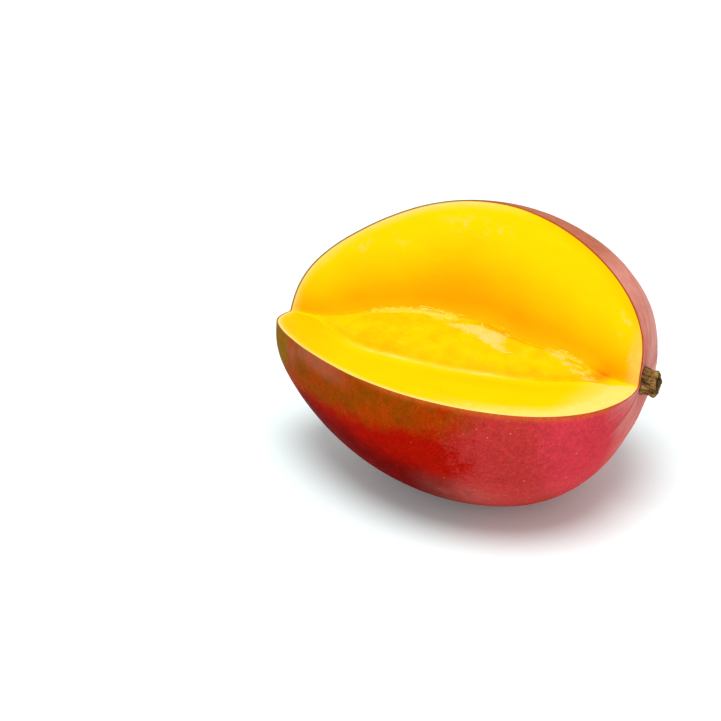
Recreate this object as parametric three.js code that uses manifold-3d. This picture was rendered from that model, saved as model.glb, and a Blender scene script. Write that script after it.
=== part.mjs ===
import * as THREE from 'three';
import Module from 'manifold-3d';

const wasm = await Module();
wasm.setup();

// A mango lying on its side with about a quarter cut out along its length. Sizes are in
// millimetres. X runs from the blunt tip to the stem, the notch faces -Y and +Z.

// Whole fruit, measured from the point on its long axis where the profiles are anchored.
const TIP_LENGTH = 59.8;
const STEM_END_LENGTH = 60.2;
const HALF_WIDTH = 46.6;
const HEIGHT_ABOVE = 43.6;
const HEIGHT_BELOW = 44.5;

// The axis is bowed: both ends drop, the stem end less, and both lie slightly to the back.
const AXIS_DROP = 1.5;
const AXIS_LEAN = 1.2;
const AXIS_BACK = 0.4;

// How each half size changes along the axis. lean makes the stem end fuller, waist and
// shoulder shape the middle, tipRound and stemRound below 1 make an end blunter.
const WIDTH_PROFILE = { lean: 0.3225, waist: -0.024, shoulder: 0.1345, tipRound: 0.82, stemRound: 0.89 };
const TOP_PROFILE = { lean: 0.1067, waist: -0.113, shoulder: -0.0105, tipRound: 0.566, stemRound: 0.8275 };
const BELLY_PROFILE = { lean: 0.187, waist: 0.015, shoulder: 0.1375, tipRound: 1.074, stemRound: 1.185 };

// Shallow pit round the stem, and the folds of skin that run from it.
const STEM_Y = 2.8;
const STEM_Z = -0.8;
const PIT_DEPTH = 1.3;
const PIT_RADIUS = 9;
const FOLD_HEIGHT = 0.28;
const FOLD_START = 0.55;

// Depth of the flat spot that the fruit rests on.
const FLAT_CUT = 1.2;

// The two cut faces. Lower: z = base + x * alongX + y * tilt. Upper: y = base + x * alongX + z * tilt.
const LOWER_FACE = { base: -0.38, alongX: -0.021, tilt: -0.117 };
const UPPER_FACE = { base: 2.37, alongX: -0.046, tilt: 0.246 };

// Edges of the fibrous flesh over the stone: [distance along the seam, distance from the seam].
const LIP = [[-56, 0.3], [-50, 1.6], [-45.5, 5.2], [-40, 10.2], [-34, 14.6], [-27, 18.9], [-20, 21.1],
  [-8, 21.6], [4, 22.1], [13, 20.9], [23, 18.3], [33, 15.2], [40, 10.6], [47.5, 4.4], [52, 0.9],
  [56, 0.3]];
const RIDGE = [[-56, 0.3], [-49, 0.6], [-42, 2.1], [-34, 4.5], [-24, 6.9], [-16, 8.6], [-8, 9.1],
  [0, 9.3], [7, 9.6], [13, 8.5], [20, 6.7], [30, 5.6], [36, 4.3], [42, 2.6], [47, 0.9], [52, 0.3],
  [56, 0.3]];

// Relief of the cut faces.
const LIP_HEIGHT = 0.7;
const LIP_BREADTH = 2.2;
const CREASE_DEPTH = 0.7;
const STONE_BULGE = 1.7;
const RIDGE_HEIGHT = 1.4;
const RIDGE_BREADTH = 2.4;
const HOLLOW_DEPTH = 1.4;
const CORNER_DEPTH = 1.6;
const CORNER_AT = 47;

// Woody stem stub.
const STEM_RADIUS = 4.1;
const STEM_OUT = 4.9;
const STEM_GAP = 0.3;
const STEM_HOLLOW = 1.2;

// Mesh density.
const SKIN_RINGS = 56;
const SKIN_COLUMNS = 72;
const FACE_STEP = 2.4;
const FACE_REACH = 72;
const STEM_COLUMNS = 40;

function smooth(edge0, edge1, value) {
  const t = Math.min(1, Math.max(0, (value - edge0) / (edge1 - edge0)));
  return t * t * (3 - 2 * t);
}

function bump(distance, breadth) {
  return Math.exp(-((distance / breadth) ** 2));
}

// Smooth curve through a table of [position, value].
function curveAt(table, at) {
  const last = table.length - 1;
  if (at <= table[0][0]) return table[0][1];
  if (at >= table[last][0]) return table[last][1];
  const i = table.findIndex((row, k) => k < last && at < table[k + 1][0]);
  const slope = (k) => {
    const a = table[Math.max(0, k - 1)];
    const b = table[Math.min(last, k + 1)];
    return (b[1] - a[1]) / (b[0] - a[0]);
  };
  const [x0, y0] = table[i];
  const [x1, y1] = table[i + 1];
  const span = x1 - x0;
  const t = (at - x0) / span;
  const m0 = slope(i) * span;
  const m1 = slope(i + 1) * span;
  return y0 * (1 + 2 * t) * (1 - t) ** 2 + m0 * t * (1 - t) ** 2
    + y1 * t * t * (3 - 2 * t) + m1 * t * t * (t - 1);
}

function solidFrom(points, triangles) {
  return new wasm.Manifold(new wasm.Mesh({
    numProp: 3,
    vertProperties: new Float32Array(points.flat()),
    triVerts: new Uint32Array(triangles.flat()),
  }));
}

// Closed tube of rings with one pole point at each end.
function ringSolid(rings, startPole, endPole) {
  const columns = rings[0].length;
  const points = [...rings.flat(), startPole, endPole];
  const start = points.length - 2;
  const end = points.length - 1;
  const triangles = [];
  for (let c = 0; c < columns; c += 1) {
    const n = (c + 1) % columns;
    triangles.push([start, n, c]);
    for (let r = 0; r + 1 < rings.length; r += 1) {
      const a = r * columns;
      const b = a + columns;
      triangles.push([a + c, a + n, b + n]);
      triangles.push([a + c, b + n, b + c]);
    }
    const last = (rings.length - 1) * columns;
    triangles.push([end, last + c, last + n]);
  }
  return solidFrom(points, triangles);
}

// Half size of one profile at c, the position along the axis from -1 (tip) to 1 (stem).
function swell(profile, c) {
  const sine = Math.sqrt(Math.max(0, 1 - c * c));
  const roundness = c < 0 ? profile.tipRound : profile.stemRound;
  const fall = sine ** (1 + (roundness - 1) * c * c);
  return fall * (1 + profile.lean * c + profile.waist * (c * c - 0.5) + profile.shoulder * c ** 3);
}

function foldAt(c, angle) {
  const waves = Math.cos(11 * angle + 0.6) + 0.7 * Math.cos(17 * angle + 2.1) + 0.5 * Math.cos(7 * angle + 4);
  const rise = smooth(FOLD_START, 0.93, c) * (1 - smooth(0.975, 1, c));
  return FOLD_HEIGHT * rise * waves / 2.2;
}

// Point of the skin at position c along the axis and angle round it, 0 at the back, 90 degrees on top.
function skinPoint(c, angle) {
  const above = HEIGHT_ABOVE * swell(TOP_PROFILE, c);
  const below = HEIGHT_BELOW * swell(BELLY_PROFILE, c);
  const across = Math.cos(angle);
  const up = Math.sin(angle);
  const fold = foldAt(c, angle);
  const y = AXIS_BACK * c * c + (HALF_WIDTH * swell(WIDTH_PROFILE, c) + fold) * across;
  const z = AXIS_LEAN * c - AXIS_DROP * c * c
    + ((above + below) / 2 + fold) * up + ((above - below) / 2) * up * up;
  const length = c < 0 ? TIP_LENGTH : STEM_END_LENGTH;
  const fromStem = Math.hypot(y - STEM_Y, z - STEM_Z);
  const pit = c > 0 ? PIT_DEPTH * bump(fromStem, PIT_RADIUS) * smooth(0.8, 0.95, c) : 0;
  return [c * length - pit, y, z];
}

function wholeFruit() {
  const rings = [];
  for (let r = 1; r < SKIN_RINGS; r += 1) {
    const c = -Math.cos(Math.PI * r / SKIN_RINGS);
    const ring = [];
    for (let k = 0; k < SKIN_COLUMNS; k += 1) {
      ring.push(skinPoint(c, 2 * Math.PI * k / SKIN_COLUMNS));
    }
    rings.push(ring);
  }
  return ringSolid(rings, skinPoint(-1, 0), skinPoint(1, 0));
}

// Origin on the seam of the two faces at x = 0, its direction, and for each face the direction
// away from the seam and the normal that points into the notch.
function notchFrame() {
  const lowerNormal = new THREE.Vector3(-LOWER_FACE.alongX, -LOWER_FACE.tilt, 1).normalize();
  const upperNormal = new THREE.Vector3(UPPER_FACE.alongX, -1, UPPER_FACE.tilt).normalize();
  const along = new THREE.Vector3().crossVectors(lowerNormal, upperNormal).normalize();
  if (along.x < 0) along.negate();
  const z = (LOWER_FACE.base + LOWER_FACE.tilt * UPPER_FACE.base) / (1 - LOWER_FACE.tilt * UPPER_FACE.tilt);
  const origin = new THREE.Vector3(0, UPPER_FACE.base + UPPER_FACE.tilt * z, z);
  const lowerOut = new THREE.Vector3().crossVectors(lowerNormal, along).normalize();
  if (lowerOut.y > 0) lowerOut.negate();
  const upperOut = new THREE.Vector3().crossVectors(upperNormal, along).normalize();
  if (upperOut.z < 0) upperOut.negate();
  return { origin, along, lowerNormal, upperNormal, lowerOut, upperOut };
}

// Strength of the relief along the seam: none at either end.
function reliefFade(u) {
  return smooth(-54, -36, u) * (1 - smooth(40, 54, u));
}

function lowerHeight(u, v) {
  const lip = curveAt(LIP, u);
  const corner = CORNER_DEPTH * bump(u - CORNER_AT, 6) * bump(v, 3);
  return LIP_HEIGHT * reliefFade(u) * bump(v - lip, LIP_BREADTH) - corner;
}

function upperHeight(u, v) {
  const ridge = curveAt(RIDGE, u);
  const rim = 46 * Math.sqrt(Math.max(0.05, 1 - (u / 62) ** 2));
  const hollow = HOLLOW_DEPTH * smooth(1, 0.3, v / rim) * smooth(-58, -30, u) * smooth(60, 40, u);
  const corner = CORNER_DEPTH * bump(u - CORNER_AT, 6) * bump(v, 4);
  return RIDGE_HEIGHT * reliefFade(u) * bump(v - ridge, RIDGE_BREADTH) - hollow - corner;
}

function offset(base, direction, distance, normal, height) {
  return base.clone().addScaledVector(direction, distance).addScaledVector(normal, height);
}

// One section of the notch across the seam, from the outer end of the lower face round to that
// of the upper face.
function notchSection(frame, u) {
  const seam = frame.origin.clone().addScaledVector(frame.along, u);
  const lip = curveAt(LIP, u);
  const ridge = curveAt(RIDGE, u);
  const lower = (v) => offset(seam, frame.lowerOut, v, frame.lowerNormal, lowerHeight(u, v));
  const upper = (v) => offset(seam, frame.upperOut, v, frame.upperNormal, upperHeight(u, v));
  const lipPoint = lower(lip);
  const ridgePoint = upper(ridge);
  const span = ridgePoint.distanceTo(lipPoint);
  const outward = new THREE.Vector3().crossVectors(frame.along, ridgePoint.clone().sub(lipPoint)).normalize();
  if (outward.dot(frame.lowerNormal) < 0) outward.negate();
  const stone = (t) => {
    const bulge = STONE_BULGE * Math.sin(Math.PI * t) ** 0.8 * Math.min(1, span / 20);
    const crease = CREASE_DEPTH * reliefFade(u) * bump(t * span - 1.3, 1.1);
    return lipPoint.clone().lerp(ridgePoint, t).addScaledVector(outward, bulge - crease);
  };
  const section = [FACE_REACH, lip + 34, lip + 26, lip + 19, lip + 13, lip + 8.5, lip + 5, lip + 2.8, lip + 1.3]
    .map(lower);
  section.push(lipPoint);
  for (const t of [0.03, 0.06, 0.11, 0.19, 0.32, 0.48, 0.64, 0.79, 0.91]) section.push(stone(t));
  section.push(ridgePoint);
  const rise = [1.2, 2.6, 4.6, 8, 13, 19, 26, 33].map((step) => upper(ridge + step));
  section.push(...rise, upper(FACE_REACH));
  return section;
}

function notchCutter() {
  const frame = notchFrame();
  const apexSide = frame.lowerOut.clone().add(frame.upperOut).normalize();
  const half = FACE_STEP * Math.ceil(64 / FACE_STEP);
  const points = [];
  const triangles = [];
  let width = 0;
  let rows = 0;
  for (let u = -half; u <= half + 0.01; u += FACE_STEP) {
    const section = notchSection(frame, u);
    const seam = frame.origin.clone().addScaledVector(frame.along, u);
    section.push(seam.addScaledVector(apexSide, 2 * FACE_REACH));
    width = section.length;
    points.push(...section.map((p) => p.toArray()));
    rows += 1;
  }
  for (let r = 0; r + 1 < rows; r += 1) {
    for (let k = 0; k < width; k += 1) {
      const n = (k + 1) % width;
      const a = r * width;
      const b = a + width;
      triangles.push([a + k, b + n, b + k]);
      triangles.push([a + k, a + n, b + n]);
    }
  }
  const apex = width - 1;
  const lastRow = (rows - 1) * width;
  for (let k = 0; k + 1 < apex; k += 1) {
    triangles.push([apex, k + 1, k]);
    triangles.push([lastRow + apex, lastRow + k, lastRow + k + 1]);
  }
  return solidFrom(points, triangles);
}

function floorCutter(fruit) {
  const bottom = fruit.boundingBox().min[2];
  const ring = (z) => [[-90, -90, z], [90, -90, z], [90, 90, z], [-90, 90, z]];
  return ringSolid([ring(bottom - 20), ring(bottom + FLAT_CUT)], [0, 0, bottom - 20], [0, 0, bottom + FLAT_CUT]);
}

// Radius of the stub at height t above the skin and angle round it: five worn ribs on a flared foot.
function stemRadius(t, angle) {
  const ribs = 0.085 * Math.cos(5 * angle + 0.4) + 0.05 * Math.cos(3 * angle + 1.9) + 0.03 * Math.cos(8 * angle);
  const foot = 0.24 * Math.exp(-Math.max(0, t) / 1.1);
  const head = 0.08 * smooth(2.4, 4.2, t) - 0.16 * smooth(4.3, STEM_OUT, t);
  return STEM_RADIUS * (0.92 + ribs + foot + head);
}

function stemStub(fruit) {
  const surface = STEM_END_LENGTH - PIT_DEPTH;
  const level = [-4, -1, 0, 0.5, 1.1, 1.9, 2.8, 3.6, 4.3, 4.7, STEM_OUT];
  const place = (t, radius, angle) => [
    surface + t + 0.25 * radius / STEM_RADIUS * Math.sin(2 * angle + 1) * smooth(3, STEM_OUT, t),
    STEM_Y - 0.1 * t + radius * Math.cos(angle),
    STEM_Z - 0.1 * t + radius * Math.sin(angle),
  ];
  const ringAt = (t, scale) => {
    const ring = [];
    for (let k = 0; k < STEM_COLUMNS; k += 1) {
      const angle = 2 * Math.PI * k / STEM_COLUMNS;
      ring.push(place(t, stemRadius(t, angle) * scale, angle));
    }
    return ring;
  };
  const rings = level.map((t) => ringAt(t, 1));
  rings.push(ringAt(STEM_OUT, 0.72), ringAt(STEM_OUT - 0.7 * STEM_HOLLOW, 0.58), ringAt(STEM_OUT - STEM_HOLLOW, 0.3));
  const stub = ringSolid(rings, place(-4, 0, 0), place(STEM_OUT - STEM_HOLLOW, 0, 0));
  return stub.subtract(fruit.translate([STEM_GAP, 0, 0]));
}

function meshFrom(solid, name, colour, roughness) {
  const data = solid.getMesh();
  const geometry = new THREE.BufferGeometry();
  geometry.setAttribute('position', new THREE.BufferAttribute(data.vertProperties, 3));
  geometry.setIndex(new THREE.BufferAttribute(data.triVerts, 1));
  geometry.computeVertexNormals();
  const mesh = new THREE.Mesh(geometry, new THREE.MeshStandardMaterial({ color: colour, roughness }));
  mesh.name = name;
  return mesh;
}

function mango() {
  const whole = wholeFruit();
  const fruit = whole.subtract(notchCutter()).subtract(floorCutter(whole)).simplify(0.06);
  const stem = stemStub(whole);
  const fruitBox = fruit.boundingBox();
  const stemBox = stem.boundingBox();
  const shift = [
    -(fruitBox.min[0] + stemBox.max[0]) / 2,
    -(fruitBox.min[1] + fruitBox.max[1]) / 2,
    -fruitBox.min[2],
  ];
  const group = new THREE.Group();
  group.name = 'mango';
  group.add(meshFrom(fruit.translate(shift), 'mango_fruit', 0xc8502d, 0.45));
  group.add(meshFrom(stem.translate(shift), 'stem_stub', 0x6b4a2c, 0.85));
  return group;
}

export default mango();
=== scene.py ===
"""Mango with a wedge cut out: skin, flesh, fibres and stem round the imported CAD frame.

Shapes are worked out in millimetres from the same formulas as the CAD source, in the fruit's own
axes, and moved into the frame in metres when a mesh is made.
"""

import math

import bpy
import numpy as np
from mathutils import Matrix, Vector
from mathutils.bvhtree import BVHTree


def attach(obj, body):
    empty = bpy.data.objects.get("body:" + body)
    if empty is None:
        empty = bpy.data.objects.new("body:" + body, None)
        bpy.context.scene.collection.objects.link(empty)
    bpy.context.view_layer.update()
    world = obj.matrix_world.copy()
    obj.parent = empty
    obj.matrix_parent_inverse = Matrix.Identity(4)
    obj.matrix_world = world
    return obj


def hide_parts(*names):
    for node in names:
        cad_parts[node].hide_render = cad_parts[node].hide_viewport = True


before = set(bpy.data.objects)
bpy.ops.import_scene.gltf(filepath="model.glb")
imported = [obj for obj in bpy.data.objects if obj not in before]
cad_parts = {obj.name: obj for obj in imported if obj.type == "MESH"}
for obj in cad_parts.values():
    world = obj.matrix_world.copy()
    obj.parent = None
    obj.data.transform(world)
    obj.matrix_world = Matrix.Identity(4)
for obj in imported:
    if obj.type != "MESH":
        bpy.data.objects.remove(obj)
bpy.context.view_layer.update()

MM = 0.001

# One seed for each use of noise.
SEED = 11
DENT_SEED = SEED
PORE_SEED = SEED + 5
STRAND_SEED = SEED + 21
LUMP_SEED = SEED + 31
SLICE_SEED = SEED + 41
ZONE_SEED = SEED + 51
FLESH_SEED = SEED + 61
BARK_SEED = SEED + 71
DRIFT_SEED = SEED + 81
RAGGED_SEED = SEED + 91

# The fruit's own origin in the frame, in millimetres.
SHIFT = np.array([-2.1122, -0.0307, 43.6010])

# Whole fruit, as in the CAD source.
TIP_LENGTH = 59.8
STEM_END_LENGTH = 60.2
HALF_WIDTH = 46.6
HEIGHT_ABOVE = 43.6
HEIGHT_BELOW = 44.5
AXIS_DROP = 1.5
AXIS_LEAN = 1.2
AXIS_BACK = 0.4
WIDTH_PROFILE = (0.3225, -0.024, 0.1345, 0.82, 0.89)
TOP_PROFILE = (0.1067, -0.113, -0.0105, 0.566, 0.8275)
BELLY_PROFILE = (0.187, 0.015, 0.1375, 1.074, 1.185)
STEM_Y = 2.8
STEM_Z = -0.8
PIT_DEPTH = 1.3
PIT_RADIUS = 9
FOLD_HEIGHT = 0.28
FOLD_START = 0.55

# The cut faces and their relief, as in the CAD source.
LOWER_FACE = (-0.38, -0.021, -0.117)
UPPER_FACE = (2.37, -0.046, 0.246)
LIP = [[-56, 0.3], [-50, 1.6], [-45.5, 5.2], [-40, 10.2], [-34, 14.6], [-27, 18.9], [-20, 21.1],
       [-8, 21.6], [4, 22.1], [13, 20.9], [23, 18.3], [33, 15.2], [40, 10.6], [47.5, 4.4], [52, 0.9],
       [56, 0.3]]
RIDGE = [[-56, 0.3], [-49, 0.6], [-42, 2.1], [-34, 4.5], [-24, 6.9], [-16, 8.6], [-8, 9.1], [0, 9.3],
         [7, 9.6], [13, 8.5], [20, 6.7], [30, 5.6], [36, 4.3], [42, 2.6], [47, 0.9], [52, 0.3], [56, 0.3]]
LIP_HEIGHT = 0.7
LIP_BREADTH = 2.2
CREASE_DEPTH = 0.7
STONE_BULGE = 1.7
RIDGE_HEIGHT = 1.4
RIDGE_BREADTH = 2.4
HOLLOW_DEPTH = 1.4
CORNER_DEPTH = 1.6
CORNER_AT = 47
FACE_REACH = 72

# Stem stub, as in the CAD source.
STEM_RADIUS = 4.1
STEM_OUT = 4.9
STEM_GAP = 0.3
STEM_HOLLOW = 1.2

# Where the stem leaves the bottom of the pit.
STEM_FOOT = STEM_END_LENGTH - PIT_DEPTH

# Finer detail that only the visual model has, in millimetres.
PEEL = 0.4
PEEL_OVERLAP = 0.02
MEAN_RADIUS = 50.0
SKIN_DENT = 0.22
PORE_DENT = 0.03
FINE_FOLD = 0.16
STONE_STRANDS = 0.05
STONE_LUMPS = 0.22
TORN_STRANDS = 0.30
TORN_LUMPS = 0.12
FACE_SLICES = 0.04
FACE_LUMPS = 0.05

# Mesh density of the pieces. Distances to the skin are measured from the measure's mesh, and the
# socket's mesh cuts the stem's foot.
SKIN_RINGS = 250
SKIN_COLUMNS = 384
FLESH_RINGS = 90
FLESH_COLUMNS = 120
STEM_COLUMNS = 112
MEASURE_RINGS = 120
MEASURE_COLUMNS = 160
SOCKET_RINGS = 160
SOCKET_COLUMNS = 200

# Step of the notch's mesh, and how far it reaches along the seam and out from the hump, in
# millimetres.
FACE_STEP = 0.5
NOTCH_HALF = 62.5
NEAR_REACH = 46

# Half size and depth of the block that cuts the rest spot, in millimetres.
BLOCK_HALF = 90.0
BLOCK_DEPTH = 20

# Where the fibre over the stone is torn: [place along, place across, breadths, strength].
TORN_SPOTS = [[-5, 0.90, 4, 0.05, 0.45], [1.5, 0.81, 4, 0.07, 0.75], [7, 0.79, 4.5, 0.12, 1],
              [12.8, 0.74, 4.2, 0.18, 1], [16.5, 0.58, 2.6, 0.08, 0.8], [22, 0.46, 3, 0.05, 0.3],
              [19, 0.92, 2, 0.06, 0.3], [24.5, 0.6, 1.2, 0.25, 0.3], [30, 0.98, 2, 0.07, 0.9],
              [33, 0.87, 2.4, 0.09, 0.9], [37.5, 0.68, 3, 0.13, 0.6], [41, 0.46, 3, 0.13, 0.6],
              [44.5, 0.25, 2.6, 0.14, 0.6], [-17, 0.93, 3, 0.05, 0.3]]

# Loose strands: how many lie on the torn spots and along the ridge, and the two long threads
# above the ridge as (first place along, last place along, rise).
SPOT_STRANDS = 40
RIDGE_STRANDS = 14
LONG_THREADS = ((-16.5, -8.5, 1.5), (-12.5, -6.0, 0.9))

# The hump's width, how far the strands lie along it to both sides, and their thickness as a
# share of their width.
HUMP_WIDTH = 24.0
HUMP_REACH = 47
FLATNESS = 0.15

# A point this near a cut face is part of it. FAR stands for any long distance.
FACE_BAND = 5
FAR = 99

# Skin colours.
DEEP_RED = (0.48, 0.006, 0.0008)
CRIMSON = (0.60, 0.039, 0.038)
ROSE = (0.76, 0.048, 0.070)
# Painted shade for the lower left of the belly.
SHADE_MAROON = (0.17, 0.001, 0.0008)
BROWN = (0.29, 0.066, 0.0008)
RUST = (0.45, 0.052, 0.0008)
GOLD = (0.30, 0.125, 0.002)
RUSSET = (0.47, 0.085, 0.002)
OLIVE = (0.18, 0.15, 0.010)
MOSS = (0.30, 0.17, 0.018)
SALMON = (0.56, 0.17, 0.10)
HEM_ORANGE = (0.70, 0.125, 0.016)
RED_SPECK = (0.56, 0.012, 0.002)
BROWN_SPECK = (0.45, 0.078, 0.002)
PINK_SPECK = (0.60, 0.13, 0.085)
PALE_DOT = (0.78, 0.28, 0.16)
# Pink of the dusty bloom, also used for the painted sheen under the belly.
BLOOM_AND_SHEEN_PINK = (0.76, 0.31, 0.25)
PALE_STREAK = (0.72, 0.36, 0.32)
VEIN_RED = (0.44, 0.075, 0.07)
CUT_OLIVE = (0.30, 0.21, 0.03)
CUT_RED = (0.40, 0.06, 0.007)

# Flesh colours. The first two are the palest and the deepest of the plain flesh; the deepest also gives
# the painted shade near the seam.
YELLOW = (0.98, 0.69, 0.001)
ORANGE = (0.97, 0.365, 0.0005)
THREAD_YELLOW = (0.98, 0.66, 0.08)
SHRED_PEACH = (0.97, 0.58, 0.15)
TUFT_YELLOW = (0.98, 0.65, 0.05)
FLECK_CREAM = (0.98, 0.69, 0.18)
EDGE_CREAM = (0.98, 0.72, 0.18)
RIM_CREAM = (0.97, 0.72, 0.32)
# Painted highlight for the lip's crest.
LIP_HIGHLIGHT = (0.98, 0.70, 0.12)
# Darker orange for the corner hollow at the seam's stem end.
CORNER_ORANGE = (0.74, 0.26, 0.004)
RIM_OCHRE = (0.84, 0.38, 0.035)
RIND_BROWN = (0.42, 0.09, 0.012)
FIBRE_YELLOW = (0.98, 0.68, 0.04)
FIBRE_PEACH = (0.98, 0.63, 0.12)

# Turn of the fibres' grain against the frame, in radians.
FIBRE_TURN = (0.2, 0.1, -0.5)

# Stem colours.
BARK_DARK = (0.05, 0.021, 0.005)
BARK = (0.38, 0.20, 0.052)
BARK_SPECK = (0.46, 0.28, 0.10)
HOLLOW_BROWN = (0.035, 0.015, 0.006)

# Floor and light. Strengths are Blender's own, the angle is in degrees, the size in metres.
FLOOR_HALF = 60.0
FLOOR_GREY = (0.78, 0.88, 0.88)
FLOOR_WHITE = (0.80, 0.90, 0.90)
FLOOR_GLOW = 0.10
WORLD_STRENGTH = 0.57
SUN_DIRECTION = (0.06, -0.32, 1.0)
SUN_STRENGTH = 2.35
SUN_ANGLE = 34

# Camera, fitted to the photograph: angles in degrees, distances in millimetres, in the fruit's axes.
VIEW_YAW = 24.222
VIEW_ELEVATION = 24.407
VIEW_DISTANCE = 639.44
VIEW_OFFSET = (29.303, 3.665)
FOCAL_PIXELS = 2083.4
FRAME_PIXELS = 721
SENSOR = 36.0


# Numbers

def smooth(edge0, edge1, value):
    """Eased step from 0 at the first edge to 1 at the second."""
    t = np.clip((value - edge0) / (edge1 - edge0), 0, 1)
    return t * t * (3 - 2 * t)


def bump(distance, breadth):
    """Bell curve that is 1 at distance 0."""
    return np.exp(-((distance / breadth) ** 2))


def curve_at(table, at):
    """Smooth curve through a table of [position, value]."""
    x = np.array([row[0] for row in table], float)
    y = np.array([row[1] for row in table], float)
    low = np.concatenate([[0], np.arange(len(x) - 1)])
    high = np.concatenate([np.arange(1, len(x)), [len(x) - 1]])
    slope = (y[high] - y[low]) / (x[high] - x[low])
    at = np.clip(at, x[0], x[-1])
    i = np.clip(np.searchsorted(x, at, side="right") - 1, 0, len(x) - 2)
    span = x[i + 1] - x[i]
    t = (at - x[i]) / span
    return (y[i] * (1 + 2 * t) * (1 - t) ** 2 + slope[i] * span * t * (1 - t) ** 2
            + y[i + 1] * t * t * (3 - 2 * t) + slope[i + 1] * span * t * t * (t - 1))


def lattice(cell, seed):
    """A repeatable value from -1 to 1 for each whole-number point, by mixing its bits."""
    h = (cell[..., 0].astype(np.int64) * 374761393 + cell[..., 1].astype(np.int64) * 668265263
         + cell[..., 2].astype(np.int64) * 2147483647 + seed * 974634777) & 0xFFFFFFFF
    h = ((h ^ (h >> 13)) * 1274126177) & 0xFFFFFFFF
    h = ((h ^ (h >> 16)) * 2246822519) & 0xFFFFFFFF
    return (h ^ (h >> 15)) / 2147483648.0 - 1


def noise(points, seed):
    """Smooth noise with features about one unit across."""
    base = np.floor(points)
    f = points - base
    f = f * f * (3 - 2 * f)
    total = 0
    for corner in range(8):
        step = np.array([corner & 1, corner >> 1 & 1, corner >> 2 & 1])
        weight = np.prod(np.where(step, f, 1 - f), axis=-1)
        total = total + weight * lattice(base + step, seed)
    return total


def layered(points, seed, octaves=3):
    """Noise in octaves, each finer and weaker than the one before."""
    total, size, scale = 0, 1.0, 1.0
    for octave in range(octaves):
        total = total + size * noise(points * scale + 17.3 * octave, seed + octave)
        size *= 0.5
        scale *= 2.03
    return total


# The whole fruit

def swell(profile, c):
    """Share of the largest half size at c, which runs from -1 at the tip to 1 at the stem."""
    lean, waist, shoulder, tip_round, stem_round = profile
    sine = np.sqrt(np.clip(1 - c * c, 0, 1))
    roundness = np.where(c < 0, tip_round, stem_round)
    fall = sine ** (1 + (roundness - 1) * c * c)
    return fall * (1 + lean * c + waist * (c * c - 0.5) + shoulder * c ** 3)


def fold_at(c, angle):
    """Broad folds that run from the stem."""
    waves = np.cos(11 * angle + 0.6) + 0.7 * np.cos(17 * angle + 2.1) + 0.5 * np.cos(7 * angle + 4)
    rise = smooth(FOLD_START, 0.93, c) * (1 - smooth(0.975, 1, c))
    return FOLD_HEIGHT * rise * waves / 2.2


def fine_fold_at(c, angle):
    """Narrow wrinkles near the stem, only ever inwards."""
    wander = angle + 0.03 * np.sin(9 * c + 5 * angle)
    broad = np.abs(np.sin(31 * wander + 0.5 * np.sin(13 * angle)))
    narrow = np.abs(np.sin(47 * wander + 1.3))
    rise = smooth(0.62, 0.95, c) * (1 - smooth(0.985, 1, c))
    return -FINE_FOLD * rise * (1.6 - (broad + 0.6 * narrow))


def skin_points(c, angle):
    """Points of the whole fruit's skin, with its folds, pit and dents."""
    above = HEIGHT_ABOVE * swell(TOP_PROFILE, c)
    below = HEIGHT_BELOW * swell(BELLY_PROFILE, c)
    across, up = np.cos(angle), np.sin(angle)
    fold = fold_at(c, angle) + fine_fold_at(c, angle)
    y = AXIS_BACK * c * c + (HALF_WIDTH * swell(WIDTH_PROFILE, c) + fold) * across
    z = (AXIS_LEAN * c - AXIS_DROP * c * c
         + ((above + below) / 2 + fold) * up + ((above - below) / 2) * up * up)
    from_stem = np.hypot(y - STEM_Y, z - STEM_Z)
    pit = np.where(c > 0, PIT_DEPTH * bump(from_stem, PIT_RADIUS) * smooth(0.8, 0.95, c), 0)
    x = c * np.where(c < 0, TIP_LENGTH, STEM_END_LENGTH) - pit
    points = np.stack(np.broadcast_arrays(x, y, z), -1)
    dent = SKIN_DENT * (0.5 + 0.5 * np.clip(layered(points / 17.0, DENT_SEED, 2) / 1.2, -1, 1))
    dent = dent + PORE_DENT * (1 + layered(points / 2.6, PORE_SEED, 2) / 1.5)
    return points * (1 - dent / MEAN_RADIUS)[..., None]


def tube(rows, columns):
    """Indices of a tube's vertices, the same one step round, and the faces between the rows."""
    index = np.arange(rows * columns).reshape(rows, columns)
    after = np.roll(index, -1, axis=1)
    quads = np.stack([index[:-1], after[:-1], after[1:], index[1:]], -1).reshape(-1, 4)
    return index, after, quads.tolist()


def ring_mesh(rings, start, end):
    """Vertices and faces of a closed tube of rings with a pole at each end."""
    rows, columns = rings.shape[:2]
    vertices = np.concatenate([rings.reshape(-1, 3), [start, end]])
    index, after, faces = tube(rows, columns)
    first, last = rows * columns, rows * columns + 1
    faces += [(first, b, a) for a, b in zip(index[0], after[0])]
    faces += [(last, a, b) for a, b in zip(index[-1], after[-1])]
    return vertices, faces


def fruit_mesh(ring_count, columns, shrink):
    """The whole fruit, with its skin drawn in by shrink."""
    c = -np.cos(math.pi * np.arange(1, ring_count) / ring_count)
    angle = 2 * math.pi * np.arange(columns) / columns
    rings = skin_points(c[:, None], angle[None, :])
    poles = skin_points(np.array([-1.0, 1.0]), np.zeros(2))
    scale = 1 - shrink / MEAN_RADIUS
    return ring_mesh(rings * scale, poles[0] * scale, poles[1] * scale)


# The notch

def unit(v):
    return v / np.linalg.norm(v)


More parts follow.
